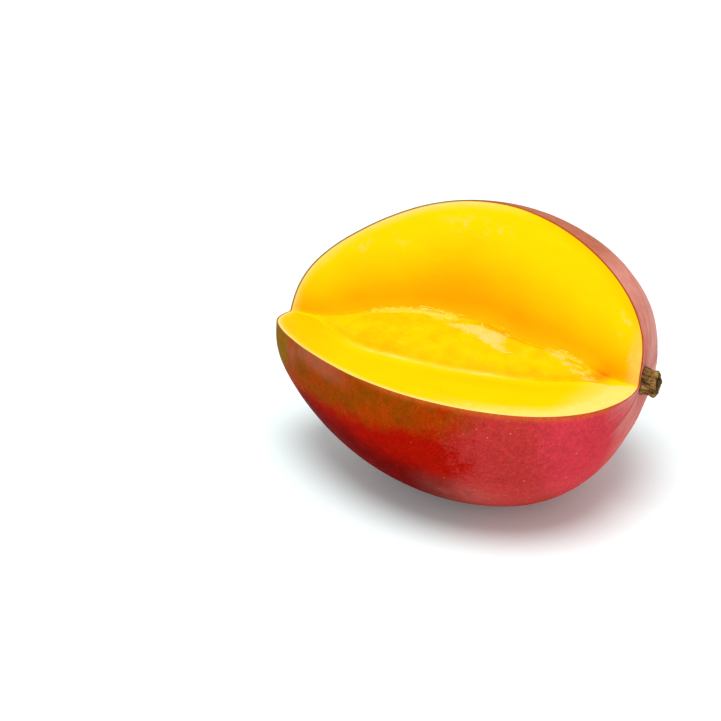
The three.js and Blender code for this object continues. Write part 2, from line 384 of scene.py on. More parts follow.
def notch_frame():
    """Origin and directions of the seam and of the two cut faces that meet in it."""
    lower_base, lower_along, lower_tilt = LOWER_FACE
    upper_base, upper_along, upper_tilt = UPPER_FACE
    lower_normal = unit(np.array([-lower_along, -lower_tilt, 1]))
    upper_normal = unit(np.array([upper_along, -1, upper_tilt]))
    along = unit(np.cross(lower_normal, upper_normal))
    along = along if along[0] > 0 else -along
    z = (lower_base + lower_tilt * upper_base) / (1 - lower_tilt * upper_tilt)
    origin = np.array([0, upper_base + upper_tilt * z, z])
    lower_out = unit(np.cross(lower_normal, along))
    lower_out = lower_out if lower_out[1] < 0 else -lower_out
    upper_out = unit(np.cross(upper_normal, along))
    upper_out = upper_out if upper_out[2] > 0 else -upper_out
    return origin, along, lower_normal, upper_normal, lower_out, upper_out


ORIGIN, ALONG, LOWER_NORMAL, UPPER_NORMAL, LOWER_OUT, UPPER_OUT = notch_frame()
STONE_NORMAL = unit(LOWER_NORMAL + 0.42 * UPPER_NORMAL)


def relief_fade(u):
    """Lets the relief die out at both ends of the seam, u being the place along it."""
    return smooth(-54, -36, u) * (1 - smooth(40, 54, u))


def lower_height(u, v):
    """Relief of the lower face, v being the distance from the seam."""
    lip = curve_at(LIP, u)
    corner = CORNER_DEPTH * bump(u - CORNER_AT, 6) * bump(v, 3)
    return LIP_HEIGHT * relief_fade(u) * bump(v - lip, LIP_BREADTH) - corner


def rim_reach(u):
    """About how far the upper face reaches from the seam."""
    return 46 * np.sqrt(np.clip(1 - (u / 62) ** 2, 0.05, 1))


def upper_height(u, v):
    """Relief of the upper face, v being the distance from the seam."""
    ridge = curve_at(RIDGE, u)
    hollow = HOLLOW_DEPTH * smooth(1, 0.3, v / rim_reach(u)) * smooth(-58, -30, u) * smooth(60, 40, u)
    corner = CORNER_DEPTH * bump(u - CORNER_AT, 6) * bump(v, 4)
    return RIDGE_HEIGHT * relief_fade(u) * bump(v - ridge, RIDGE_BREADTH) - hollow - corner


def on_face(u, v, out, normal, height):
    return ORIGIN + u[..., None] * ALONG + v[..., None] * out + height[..., None] * normal


def lower_point(u, v):
    return on_face(u, v, LOWER_OUT, LOWER_NORMAL, lower_height(u, v))


def upper_point(u, v):
    return on_face(u, v, UPPER_OUT, UPPER_NORMAL, upper_height(u, v))


def stone_point(u, t):
    """Point of the fibrous hump over the stone, t from 0 at the lip to 1 at the ridge."""
    lip_point = lower_point(u, curve_at(LIP, u))
    ridge_point = upper_point(u, curve_at(RIDGE, u))
    chord = ridge_point - lip_point
    span = np.linalg.norm(chord, axis=-1)
    outward = np.cross(ALONG, chord / span[..., None])
    outward = np.where((outward @ LOWER_NORMAL)[..., None] < 0, -outward, outward)
    bulge = STONE_BULGE * np.sin(math.pi * np.clip(t, 0, 1)) ** 0.8 * np.minimum(1, span / 20)
    crease = CREASE_DEPTH * relief_fade(u) * bump(t * span - 1.3, 1.1)
    return lip_point + chord * t[..., None] + outward * (bulge - crease)[..., None]


def notch_rows():
    """Sections of the notch, one row for each step along the seam.

    Each runs from far outside over the lower face, the hump and the upper face to far outside
    again, with the points closer together near the hump.
    """
    u = np.arange(-NOTCH_HALF, NOTCH_HALF + FACE_STEP / 2, FACE_STEP)
    lip = curve_at(LIP, u)[:, None]
    ridge = curve_at(RIDGE, u)[:, None]
    half_step = FACE_STEP / 2
    near = np.concatenate([np.arange(NEAR_REACH, 6, -FACE_STEP), np.arange(6, 0, -half_step)])
    across = np.concatenate([np.linspace(0, 0.12, 9)[1:], np.linspace(0.12, 1, 52)[1:-1]])
    rise = np.concatenate([np.arange(half_step, 5, half_step), np.arange(5, NEAR_REACH, FACE_STEP)])
    outer = np.full((len(u), 1), float(FACE_REACH))
    lower_v = np.concatenate([outer, lip + near, lip], 1)
    upper_v = np.concatenate([ridge, ridge + rise, outer], 1)
    t = np.repeat(across[None, :], len(u), 0)

    def along(values):
        return np.repeat(u[:, None], values.shape[1], 1)

    rows = np.concatenate([
        lower_point(along(lower_v), lower_v),
        stone_point(along(t), t),
        upper_point(along(upper_v), upper_v),
    ], 1)
    return u, rows


def roughened(points):
    """Fine unevenness of the cut: nearly smooth on the faces, fibrous over the stone."""
    facts = flesh_facts(points)
    stone, torn = facts["stone"], facts["torn"]
    grain = np.stack([points @ (ALONG + 0.35 * LOWER_OUT), points @ (LOWER_OUT - 0.35 * ALONG),
                      points @ UPPER_OUT], -1)
    strands = layered(grain * np.array([0.28, 1.0, 1.0]), STRAND_SEED, 3)
    lumps = layered(points / 5.5, LUMP_SEED, 2)
    slices = layered(grain * np.array([0.05, 0.35, 0.35]), SLICE_SEED, 2)
    height = stone * (STONE_STRANDS * strands + STONE_LUMPS * lumps)
    height = height + torn * (TORN_STRANDS * np.abs(strands) + TORN_LUMPS * lumps)
    height = height + (1 - stone) * (FACE_SLICES * slices + FACE_LUMPS * lumps)
    height = height * smooth(0, 2.5, facts["room"])
    outward = np.where(facts["upper"][..., None] > 0.5, UPPER_NORMAL, LOWER_NORMAL)
    outward = np.where(stone[..., None] > 0.5, STONE_NORMAL, outward)
    return points + outward * height[..., None]


def flesh_facts(points):
    """What each point of the cut is part of, from where it lies."""
    q = points - ORIGIN
    u = q @ ALONG
    lower_v, upper_v = q @ LOWER_OUT, q @ UPPER_OUT
    low_gap, up_gap = np.abs(q @ LOWER_NORMAL), np.abs(q @ UPPER_NORMAL)
    lip, ridge = curve_at(LIP, u), curve_at(RIDGE, u)
    upper = (upper_v > ridge) & (up_gap < FACE_BAND) & (upper_v > lower_v)
    lower = (lower_v > lip) & (low_gap < FACE_BAND) & ~upper
    size = smooth(1.5, 7, lip)
    from_lip = np.where(lower, lower_v - lip, np.where(upper, FAR, lip - lower_v))
    below_ridge = np.where(lower, FAR, np.maximum(0, ridge - upper_v))
    from_ridge = np.where(upper, upper_v - ridge, below_ridge)
    across = ((lip - lower_v) * lip + upper_v * ridge) / (lip ** 2 + ridge ** 2)
    across = np.where(upper, 1, np.where(lower, 0, np.clip(across, 0, 1)))
    # An ellipsoid serves for the room that is left up to the skin.
    body = np.sqrt((q[..., 0] / 60) ** 2 + (q[..., 1] / 48) ** 2 + (q[..., 2] / 46) ** 2)
    drift = 1.6 * layered(np.stack([u / 5.0, across * 4, 0 * u], -1), DRIFT_SEED, 2)
    below = (~upper & ~lower).astype(float)
    ragged = across + 0.022 * layered(np.stack([u / 1.6, across * 9, 0 * u], -1), RAGGED_SEED, 2)
    torn = 0
    for at_u, at_t, wide, tall, strength in TORN_SPOTS:
        spot = strength * bump(u + 0.5 * drift - at_u, wide) * bump(ragged - at_t, tall)
        torn = np.maximum(torn, spot)
    torn = torn * below
    return {
        "u": u,
        "upper": upper.astype(float),
        "lower": lower.astype(float),
        "upper_v": upper_v,
        "across": across,
        "stone": below * size,
        "from_lip": from_lip,
        "from_ridge": from_ridge,
        "torn": np.clip(torn, 0, 1),
        "room": (1 - np.clip(body, 0, 1)) * 40,
    }


def notch_mesh():
    """The wedge that is cut away, closed by a line far outside the fruit."""
    u, rows = notch_rows()
    shape = rows.shape
    rows = roughened(rows.reshape(-1, 3)).reshape(shape)
    apex = ORIGIN + u[:, None] * ALONG + 2 * FACE_REACH * unit(LOWER_OUT + UPPER_OUT)
    rows = np.concatenate([rows, apex[:, None]], 1)
    height, width = rows.shape[:2]
    index, _, faces = tube(height, width)
    faces += [(index[0, -1], index[0, k + 1], index[0, k]) for k in range(width - 2)]
    faces += [(index[-1, -1], index[-1, k], index[-1, k + 1]) for k in range(width - 2)]
    return rows.reshape(-1, 3), faces


# Blender objects

def add_object(name, data):
    obj = bpy.data.objects.new(name, data)
    bpy.context.scene.collection.objects.link(obj)
    return obj


def make_object(name, vertices, faces):
    """Object from vertices in millimetres in the fruit's axes."""
    mesh = bpy.data.meshes.new(name)
    mesh.from_pydata(((vertices + SHIFT) * MM).tolist(), [], faces)
    mesh.validate()
    return add_object(name, mesh)


def cut(obj, cutters):
    """Takes the cutters away from the object and leaves plain mesh behind."""
    for cutter in cutters:
        mod = obj.modifiers.new("cut", "BOOLEAN")
        mod.operation = "DIFFERENCE"
        mod.solver = "MANIFOLD"
        mod.object = cutter
    evaluated = obj.evaluated_get(bpy.context.evaluated_depsgraph_get())
    mesh = bpy.data.meshes.new_from_object(evaluated)
    obj.modifiers.clear()
    old = obj.data
    obj.data = mesh
    bpy.data.meshes.remove(old)


def positions(obj):
    """The object's vertices in millimetres in the fruit's axes."""
    count = len(obj.data.vertices)
    flat = np.empty(count * 3)
    obj.data.vertices.foreach_get("co", flat)
    return flat.reshape(-1, 3) / MM - SHIFT


def set_attribute(obj, name, values):
    layer = obj.data.attributes.new(name, "FLOAT", "POINT")
    layer.data.foreach_set("value", np.ascontiguousarray(values, np.float32))


def shade_smooth(obj, sharp_degrees=None):
    """Smooth shading, but for edges sharper than the given angle."""
    obj.data.polygons.foreach_set("use_smooth", [True] * len(obj.data.polygons))
    if sharp_degrees is not None:
        obj.data.set_sharp_from_angle(angle=math.radians(sharp_degrees))


def dress(obj, material, node):
    """Gives the object its material and its place in the frame."""
    obj.data.materials.clear()
    obj.data.materials.append(material)
    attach(obj, "root")
    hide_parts(node)


def skin_distance(points):
    """Distance in millimetres from each point to the whole fruit's outer skin."""
    vertices, faces = fruit_mesh(MEASURE_RINGS, MEASURE_COLUMNS, 0)
    tree = BVHTree.FromPolygons(vertices.tolist(), faces)
    return np.array([tree.find_nearest(p)[3] for p in points.tolist()])


# Materials

class Nodes:
    """Short calls for building a node material."""

    def __init__(self, name):
        self.material = bpy.data.materials.new(name)
        self.material.use_nodes = True
        self.tree = self.material.node_tree
        self.shader = self.tree.nodes["Principled BSDF"]
        coords = self.tree.nodes.new("ShaderNodeTexCoord")
        self.place = coords.outputs["Object"]

    def link(self, source, socket):
        """Wires a socket into another one, or sets it to a value."""
        if isinstance(source, bpy.types.NodeSocket):
            self.tree.links.new(source, socket)
        else:
            socket.default_value = source

    def attribute(self, name):
        """A mask that is stored on the mesh."""
        node = self.tree.nodes.new("ShaderNodeAttribute")
        node.attribute_name = name
        return node.outputs["Fac"]

    def math(self, operation, a, b, clamp=False):
        node = self.tree.nodes.new("ShaderNodeMath")
        node.operation = operation
        node.use_clamp = clamp
        self.link(a, node.inputs[0])
        self.link(b, node.inputs[1])
        return node.outputs[0]

    def ramp(self, value, low, high, out_low=0.0, out_high=1.0, soft=True):
        """Maps low to high onto the two outer values, held beyond them."""
        node = self.tree.nodes.new("ShaderNodeMapRange")
        node.interpolation_type = "SMOOTHSTEP" if soft else "LINEAR"
        self.link(value, node.inputs["Value"])
        node.inputs["From Min"].default_value = low
        node.inputs["From Max"].default_value = high
        node.inputs["To Min"].default_value = out_low
        node.inputs["To Max"].default_value = out_high
        return node.outputs["Result"]

    def mix(self, factor, a, b, blend="MIX"):
        """Mixes two colours, each a socket or a constant. Sockets 6, 7 and 2 are the colours'."""
        node = self.tree.nodes.new("ShaderNodeMix")
        node.data_type = "RGBA"
        node.blend_type = blend
        self.link(factor, node.inputs[0])
        self.link(a if isinstance(a, bpy.types.NodeSocket) else (*a, 1), node.inputs[6])
        self.link(b if isinstance(b, bpy.types.NodeSocket) else (*b, 1), node.inputs[7])
        return node.outputs[2]

    def grey(self, value):
        """A colour with all three channels alike."""
        node = self.tree.nodes.new("ShaderNodeCombineColor")
        for socket in node.inputs[:3]:
            self.link(value, socket)
        return node.outputs[0]

    def flow(self, scale):
        """Coordinates that run along the skin from the stem, scaled."""
        node = self.tree.nodes.new("ShaderNodeAttribute")
        node.attribute_name = "flow"
        return self.mapped(node.outputs["Vector"], scale)

    def stretched(self, scale, rotation=(0, 0, 0)):
        """Object coordinates, turned and scaled."""
        return self.mapped(self.place, scale, rotation)

    def mapped(self, vector, scale, rotation=(0, 0, 0)):
        """Any coordinates, turned and scaled."""
        node = self.tree.nodes.new("ShaderNodeMapping")
        self.link(vector, node.inputs["Vector"])
        node.inputs["Scale"].default_value = scale
        node.inputs["Rotation"].default_value = rotation
        return node.outputs["Vector"]

    def noise(self, scale, detail, roughness, vector=None, distortion=0.0):
        node = self.tree.nodes.new("ShaderNodeTexNoise")
        self.link(vector or self.place, node.inputs["Vector"])
        node.inputs["Scale"].default_value = scale
        node.inputs["Detail"].default_value = detail
        node.inputs["Roughness"].default_value = roughness
        node.inputs["Distortion"].default_value = distortion
        return node.outputs["Fac"]

    def dots(self, scale):
        """Distance to the nearest scattered dot, and that dot's random colour."""
        node = self.tree.nodes.new("ShaderNodeTexVoronoi")
        self.link(self.place, node.inputs["Vector"])
        node.inputs["Scale"].default_value = scale
        return node.outputs["Distance"], node.outputs["Color"]

    def first_channel(self, colour):
        node = self.tree.nodes.new("ShaderNodeSeparateColor")
        self.link(colour, node.inputs[0])
        return node.outputs[0]

    def bump(self, height, distance, strength, normal=None):
        node = self.tree.nodes.new("ShaderNodeBump")
        node.inputs["Strength"].default_value = strength
        node.inputs["Distance"].default_value = distance
        self.link(height, node.inputs["Height"])
        if normal is not None:
            self.link(normal, node.inputs["Normal"])
        return node.outputs["Normal"]

    def finish(self, **sockets):
        """Sets the shader's own sockets and gives the material."""
        for name, value in sockets.items():
            self.link(value, self.shader.inputs[name.replace("_", " ")])
        return self.material


def zone_colours(n, mottle, patch, grain):
    """Base colours of the skin, zone by zone, with mottled borders."""
    wander = n.math("ADD", n.ramp(mottle, 0.2, 0.8, -0.22, 0.22, soft=False),
                    n.ramp(patch, 0.25, 0.75, -0.16, 0.16, soft=False))
    wander = n.math("ADD", wander, n.ramp(grain, 0.2, 0.8, -0.14, 0.14, soft=False))

    def zone(name, low=0.25, high=0.75):
        return n.ramp(n.math("ADD", n.attribute(name), wander), low, high)

    def zone_inside(name, low, high):
        inside = n.ramp(n.attribute(name), 0.0, 0.15)
        return n.math("MULTIPLY", zone(name, low, high), inside)

    colour = n.mix(zone("crimson", 0.36, 0.84), DEEP_RED, CRIMSON)
    colour = n.mix(zone("rose"), colour, ROSE)
    # Painted shade: maroon low on the belly, from the middle towards the tip.
    colour = n.mix(zone("underside_shade", 0.0, 1.0), colour, SHADE_MAROON)
    brown = n.mix(n.ramp(patch, 0.35, 0.65), BROWN, RUST)
    colour = n.mix(zone("brown", 0.15, 0.85), colour, brown)
    colour = n.mix(zone("gold"), colour, GOLD)
    green = n.mix(n.ramp(mottle, 0.35, 0.65), OLIVE, MOSS)
    colour = n.mix(zone_inside("green", 0.0, 0.6), colour, RUSSET)
    colour = n.mix(zone("green", 0.4, 1.1), colour, green)
    colour = n.mix(zone_inside("salmon", 0.1, 0.9), colour, SALMON)
    hem = n.math("MULTIPLY", n.attribute("hem"), n.ramp(mottle, 0.3, 0.7, 0.55, 0.95, soft=False))
    return n.mix(hem, colour, HEM_ORANGE)


def speckled(n, colour, grain, distance, cell):
    """Adds fine shading, specks and pale dots to the skin."""
    shade = n.ramp(n.noise(1500, 3, 0.6), 0.25, 0.75, 0.70, 1.07, soft=False)
    colour = n.mix(1.0, colour, n.grey(shade), "MULTIPLY")
    cloudy = n.ramp(n.noise(420, 3, 0.55), 0.3, 0.7, 0.88, 1.08, soft=False)
    colour = n.mix(1.0, colour, n.grey(cloudy), "MULTIPLY")
    speck = n.mix(n.attribute("brown"), RED_SPECK, BROWN_SPECK)
    speck = n.mix(n.attribute("crimson"), speck, PINK_SPECK)
    colour = n.mix(n.ramp(grain, 0.55, 0.72, 0.0, 0.30), colour, speck)
    chosen = n.ramp(n.first_channel(cell), 0.25, 0.8)
    dot = n.math("MULTIPLY", n.ramp(distance, 0.05, 0.14, 1.0, 0.0), chosen)
    return n.mix(n.math("MULTIPLY", dot, n.attribute("dotted")), colour, PALE_DOT)


def dusted_and_sheened(n, colour):
    """Adds the dusty bloom with a painted sheen low on the belly, and the lines that run from the stem.
    """
    amount = n.ramp(n.noise(180, 4, 0.65), 0.3, 0.7, 0.6, 1.3, soft=False)
    dust_and_sheen = n.math("MULTIPLY", n.attribute("bloom_and_sheen"), amount, clamp=True)
    colour = n.mix(dust_and_sheen, colour, BLOOM_AND_SHEEN_PINK)
    streak = n.attribute("streak")
    lines = n.ramp(n.noise(1.0, 4, 0.6, vector=n.flow((1.6, 9, 9))), 0.42, 0.64)
    broken = n.ramp(n.noise(120, 3, 0.6), 0.35, 0.65, 0.45, 1.1, soft=False)
    lines = n.math("MULTIPLY", n.math("MULTIPLY", lines, broken), streak, clamp=True)
    colour = n.mix(lines, colour, PALE_STREAK)
    veins = n.ramp(n.noise(1.0, 4, 0.6, vector=n.flow((1.1, 14, 14))), 0.50, 0.66)
    return n.mix(n.math("MULTIPLY", veins, streak), colour, VEIN_RED)


def skin_material():
    n = Nodes("mango_skin")
    mottle = n.noise(260, 4, 0.6)
    patch = n.noise(95, 3, 0.55)
    grain = n.noise(1300, 3, 0.55)
    distance, cell = n.dots(330)
    colour = zone_colours(n, mottle, patch, grain)
    colour = speckled(n, colour, grain, distance, cell)
    colour = dusted_and_sheened(n, colour)
    edge = n.mix(n.attribute("warm"), CUT_OLIVE, CUT_RED)
    colour = n.mix(n.ramp(n.attribute("depth"), 0.05, 0.2), colour, edge)
    pores = n.bump(n.noise(2200, 2, 0.5), 0.00005, 0.5)
    pits = n.bump(distance, 0.00010, 0.35, pores)
    rough = n.ramp(n.noise(240, 3, 0.6), 0.2, 0.8, 0.34, 0.50, soft=False)
    return n.finish(Base_Color=colour, Roughness=rough, Normal=pits, Specular_IOR_Level=0.002)


def plain_flesh(n, stone, fibre):
    """Yellow to orange flesh, with threads over the stone."""
    cloud = n.ramp(n.noise(75, 3, 0.55), 0.3, 0.7, -0.06, 0.06, soft=False)
    blotch = n.ramp(n.noise(210, 3, 0.5), 0.3, 0.7, -0.15, 0.13, soft=False)
    # The orange mask holds painted shade near the seam as well as the flesh's own colour.
    depth = n.math("ADD", n.attribute("deep_and_shade"), cloud)
    depth = n.math("ADD", depth, n.math("MULTIPLY", stone, blotch), clamp=True)
    colour = n.mix(depth, YELLOW, ORANGE)
    thread = n.math("MULTIPLY", n.ramp(fibre, 0.58, 0.74), stone)
    return n.mix(n.math("MULTIPLY", thread, 0.22), colour, THREAD_YELLOW)


def frayed(n, colour):
    """Adds the torn shreds over the stone and the tufts by the ridge."""
    torn, fuzz = n.attribute("torn"), n.attribute("fuzz")
    wisps = n.noise(1.0, 5, 0.7, vector=n.stretched((420, 1500, 1100), FIBRE_TURN), distortion=1.2)
    shreds = n.math("ADD", wisps, n.ramp(torn, 0, 1, -0.25, 0.26, soft=False))
    shreds = n.math("MULTIPLY", n.ramp(shreds, 0.38, 0.60), n.ramp(torn, 0.08, 0.4))
    colour = n.mix(shreds, colour, SHRED_PEACH)
    wisps = n.noise(1.0, 5, 0.7, vector=n.stretched((450, 1300, 600), FIBRE_TURN), distortion=1.0)
    tufts = n.math("ADD", wisps, n.ramp(fuzz, 0, 1, -0.26, 0.14, soft=False))
    tufts = n.math("MULTIPLY", n.ramp(tufts, 0.44, 0.58), n.ramp(fuzz, 0.04, 0.3))
    return n.mix(tufts, colour, TUFT_YELLOW)


def edged(n, colour):
    """Adds the pale flecks and edges, a painted highlight along the lip's crest, and the rind's own line.
    """
    fine = n.noise(420, 4, 0.6)
    spots = n.math("MULTIPLY", n.attribute("fleck"), n.ramp(n.noise(300, 5, 0.65), 0.50, 0.68))
    colour = n.mix(spots, colour, FLECK_CREAM)
    uneven = n.ramp(fine, 0.25, 0.7, 0.6, 1.1, soft=False)
    cream = n.math("MULTIPLY", n.attribute("cream"), uneven, clamp=True)
    colour = n.mix(cream, colour, EDGE_CREAM)
    colour = n.mix(n.attribute("pale"), colour, RIM_CREAM)
    # Painted highlight along the crest of the lip, uneven in strength.
    lip = n.math("MULTIPLY", n.attribute("line"), n.ramp(fine, 0.3, 0.65, 0.35, 1.0))
    lip = n.math("MULTIPLY", lip, n.ramp(n.noise(55, 2, 0.5), 0.40, 0.60, 0.55, 1.5), clamp=True)
    colour = n.mix(lip, colour, LIP_HIGHLIGHT)
    # Darker orange in the corner hollow at the seam's stem end.
    colour = n.mix(n.attribute("corner_orange"), colour, CORNER_ORANGE)
    rim = n.attribute("rim")
    colour = n.mix(n.ramp(rim, 0.40, 0.7, 0.45, 0.0), colour, RIM_OCHRE)
    rind = n.math("MULTIPLY", n.ramp(rim, 0.40, 0.80, 0.85, 0.0), n.attribute("seared"))
    return n.mix(rind, colour, RIND_BROWN)


def flesh_material():
    n = Nodes("mango_flesh")
    stone = n.attribute("stone")
    fibre = n.noise(1.0, 4, 0.6, vector=n.stretched((260, 900, 700), FIBRE_TURN), distortion=0.6)
    colour = edged(n, frayed(n, plain_flesh(n, stone, fibre)))
    wet = n.bump(n.noise(600, 3, 0.55), 0.00008, 0.4)
    strands = n.bump(n.math("MULTIPLY", fibre, stone), 0.00025, 0.5, wet)
    rough = n.ramp(n.noise(300, 3, 0.6), 0.3, 0.7, 0.32, 0.5, soft=False)
    return n.finish(Base_Color=colour, Roughness=rough, Normal=strands, Specular_IOR_Level=0.01)


def fibre_material():
    n = Nodes("mango_fibre")
    colour = n.mix(n.ramp(n.noise(500, 2, 0.5), 0.35, 0.65), FIBRE_YELLOW, FIBRE_PEACH)
    return n.finish(Base_Color=colour, Roughness=0.6, Specular_IOR_Level=0.0)


def stem_material():
    n = Nodes("mango_stem")
    ribs = n.noise(1.0, 4, 0.65, vector=n.stretched((220, 900, 900)), distortion=0.6)
    # The bark is darker down in the grooves and lighter on the ribs: partly its own tone, partly painted
    # shade in the grooves.
    colour = n.mix(n.ramp(ribs, 0.36, 0.66), BARK_DARK, BARK)
    colour = n.mix(n.ramp(n.noise(700, 3, 0.6), 0.56, 0.72, 0.0, 0.6), colour, BARK_SPECK)
    colour = n.mix(n.attribute("hollow"), colour, HOLLOW_BROWN)
    bark = n.bump(ribs, 0.0005, 0.8)
    return n.finish(Base_Color=colour, Roughness=0.8, Normal=bark, Specular_IOR_Level=0.15)


# Pieces

def floor_block(lift):
    """A block whose top lies the given distance above the surface that the fruit rests on."""
    side = BLOCK_HALF
    around = ((-side, -side), (side, -side), (side, side), (-side, side))
    heights = (-SHIFT[2] - BLOCK_DEPTH, -SHIFT[2] + lift)
    corners = np.array([[x, y, z] for z in heights for x, y in around])
    faces = [(3, 2, 1, 0), (4, 5, 6, 7), (0, 1, 5, 4), (1, 2, 6, 5), (2, 3, 7, 6), (3, 0, 4, 7)]
    return make_object("floor_cutter", corners, faces)


def bloom_and_sheen_mask(p, c, wobble, front, salmon):
    """Dusty bloom at the tip, near the stem and on the back, and a painted sheen under the belly."""
    x, y, z = p.T
    left_rim = 0.13 * smooth(-48, -40, x) * smooth(-14, -30, x) * smooth(-2.8, 1.6, z)
    tip = 0.12 * bump(x + 46, 2.5) * bump(z + 1.5, 4) + left_rim
    # Painted sheen: the pale floor's reflection along the underside.
    belly = 0.15 * smooth(-17, -29, z) * smooth(-0.05, 0.25, c) * (1 - 0.7 * smooth(0.3, 0.55, c))
    end = 0.16 * smooth(0.94, 1.0, c + 0.3 * wobble) + 0.50 * smooth(-20, -3, y) * smooth(0.80, 0.95, c)
    back = smooth(20, 34, y)
    blush_edge = smooth(0.62 - 0.25 * back, 0.78 + 0.10 * back, c + (0.4 + 1.6 * back) * wobble)
    bloom_and_sheen = tip * front + belly + end * smooth(20, 0, z) + 0.75 * salmon * blush_edge
    return np.clip(bloom_and_sheen * (1 + wobble), 0, 0.9)


def skin_masks(p):
    """How much of each colour the skin shows at each point."""
    x, y, z = p.T
    c = x / np.where(x < 0, TIP_LENGTH, STEM_END_LENGTH)
    wobble = 0.10 * layered(p / 13.0, ZONE_SEED, 3)
    front = smooth(5, -12, y)
    base, along, tilt = LOWER_FACE
    below_cut = base + along * x + tilt * y - z
    gold_front = front * smooth(-0.72, -0.9, c) * smooth(-13, -4, z)
    gold_back = (1 - front) * smooth(-0.45, -0.9, c) * smooth(-26, 2, z)
    salmon = smooth(-3, 9, y) * smooth(48, 22, y - 0.2 * z) * smooth(-10, 18, z)
    salmon = salmon * smooth(-0.2, 0.45, c)
    front_lines = 0.6 * smooth(-20, -4, y) * smooth(-14, 6, z) * smooth(0.62, 0.95, c)
    return {
        "hem": front * smooth(2.0, 0.1, below_cut) * smooth(-0.35, 0.05, c) * smooth(1.0, 0.93, c),
        "crimson": smooth(0.05, 0.62, c + 0.25 * wobble - 0.004 * z),
        "rose": smooth(0.50, 0.92, c),
        # Painted shade low on the belly, from the middle towards the tip.
        "underside_shade": 0.9 * smooth(-10, -26, z + 0.15 * x) * smooth(0.55, 0.05, c),
        "brown": front * smooth(0.95, -0.25, c) * smooth(-14, 1, z - 0.12 * x),
        "gold": np.clip(gold_front + gold_back, 0, 1),
        "green": smooth(0.55, -0.5, c) * smooth(-2, 34, y) * smooth(-30, 26, z + 0.25 * y),
        "salmon": salmon,
        "dotted": 0.12 + 0.55 * smooth(0.0, 0.6, c) * smooth(0.98, 0.75, c),
        "bloom_and_sheen": bloom_and_sheen_mask(p, c, wobble, front, salmon),
        "streak": 0.6 * smooth(0.92, 0.99, c) + front_lines,
        "warm": smooth(-8, 26, x) * smooth(-8, 8, z) + smooth(8, -8, z) * 0.8,
        "depth": skin_distance(p),
    }


def set_flow(obj, p):
    """Stores coordinates in which the skin's lines run from the stem."""
    x, y, z = p.T
    around = np.arctan2(z - STEM_Z, y - STEM_Y)
    vectors = np.stack([x / 60, np.cos(around), np.sin(around)], -1)
    layer = obj.data.attributes.new("flow", "FLOAT_VECTOR", "POINT")
    layer.data.foreach_set("vector", vectors.astype(np.float32).ravel())


def skin_piece(notch):
    """A thin shell of the whole fruit, opened by the notch and flat underneath."""
    skin = make_object("mango_skin", *fruit_mesh(SKIN_RINGS, SKIN_COLUMNS, 0))
    core = make_object("core_cutter", *fruit_mesh(FLESH_RINGS, FLESH_COLUMNS, PEEL))
    floor, raised = floor_block(0), floor_block(PEEL)
    cut(core, [raised])
    cut(skin, [core, notch, floor])
    for helper in (core, floor, raised):
        bpy.data.objects.remove(helper)
    p = positions(skin)
    for name, value in skin_masks(p).items():
        set_attribute(skin, name, value)
    set_flow(skin, p)
    shade_smooth(skin, sharp_degrees=40)
    dress(skin, skin_material(), "mango_fruit")


def deep_and_shade_mask(facts, rim, wander):
    """How orange the flesh is, from 0 for the palest yellow to 1: partly the flesh's own colour, partly
    painted shade towards the seam and in the groove behind the lip.
    """
    u, v, across = facts["u"], facts["upper_v"], facts["across"]
    upper, lower, stone = facts["upper"], facts["lower"], facts["stone"]
    from_lip, from_ridge = facts["from_lip"], facts["from_ridge"]
    rise = v - 14 * bump(u, 28) + 5 * smooth(28, 52, np.abs(u))
    # Painted shade together with the flesh's own deepening: the upper face turns orange towards the seam.
    deep_and_shade = upper * (1 - smooth(-1, 26, rise + 0.8 * wander))
    deep_and_shade += upper * 0.28 * smooth(5, 1, rim) * smooth(12, 34, u)
    deep_and_shade -= upper * 0.4 * bump(from_ridge, 1.0)
    by_lip = 0.17 * bump(from_lip - 5, 5) * bump(u - 18, 18)
    deep_and_shade += lower * (0.28 + 0.26 * smooth(-20, -46, u) + by_lip)
    # Painted shade in the groove behind the lip.
    groove = bump(from_lip - 3, 2) * (bump(u + 18, 11) + bump(u - 28, 8))
    crest = smooth(0.84, 0.98, across) * smooth(2, 12, u) * smooth(46, 36, u)
    left = smooth(-26, -40, u)
    deep_and_shade += stone * (0.52 - 0.15 * left + 0.15 * groove + 0.6 * crest + 0.55 * bump(u - 50, 6))
    deep_and_shade = np.where(stone + upper + lower > 0.5, deep_and_shade, 0.3)
    return np.clip(deep_and_shade, 0, 1)


def cream_mask(facts, rim, wander):
    """Cream flesh along the rims of both cut faces and at the stem's end."""
    u, v, upper, lower = facts["u"], facts["upper_v"], facts["upper"], facts["lower"]
    near = lower * smooth(2.8, 0.7, rim + 0.4 * wander) * (0.35 + 0.65 * smooth(-30, 10, u))
    wide = lower * smooth(10, 2, rim + wander) * smooth(10, 40, u) * 0.85
    end = lower * smooth(42, 56, u) * 0.85 + upper * smooth(53, 58, u) * smooth(22, 8, v) * 0.6
    far = upper * smooth(3.2, 0.6, rim + 0.5 * wander) * smooth(22, -6, u)
    far = far * (0.45 + 0.4 * smooth(-40, -20, u))
    return np.clip(near + wide + end + far, 0, 1)


def fleck_mask(facts, rim):
    """Where pale flecks lie on the two cut faces."""
    u, v, upper, lower = facts["u"], facts["upper_v"], facts["upper"], facts["lower"]
    frost = bump(u - 1, 7) * bump(v - 38, 2.2) + bump(u + 23, 4) * bump(v - 31, 2.5)
    frost = frost + 0.4 * bump(u + 36, 4) * bump(v - 25, 3)
    arc = bump(rim - 5.0, 1.8) * smooth(30, 42, u) * smooth(2, 7, v) * smooth(25, 18, v)
    fleck = upper * (0.9 * frost + 0.9 * arc) + lower * bump(rim - 4.5, 2.5) * smooth(0, 30, u) * 0.7
    return np.clip(fleck, 0, 1)


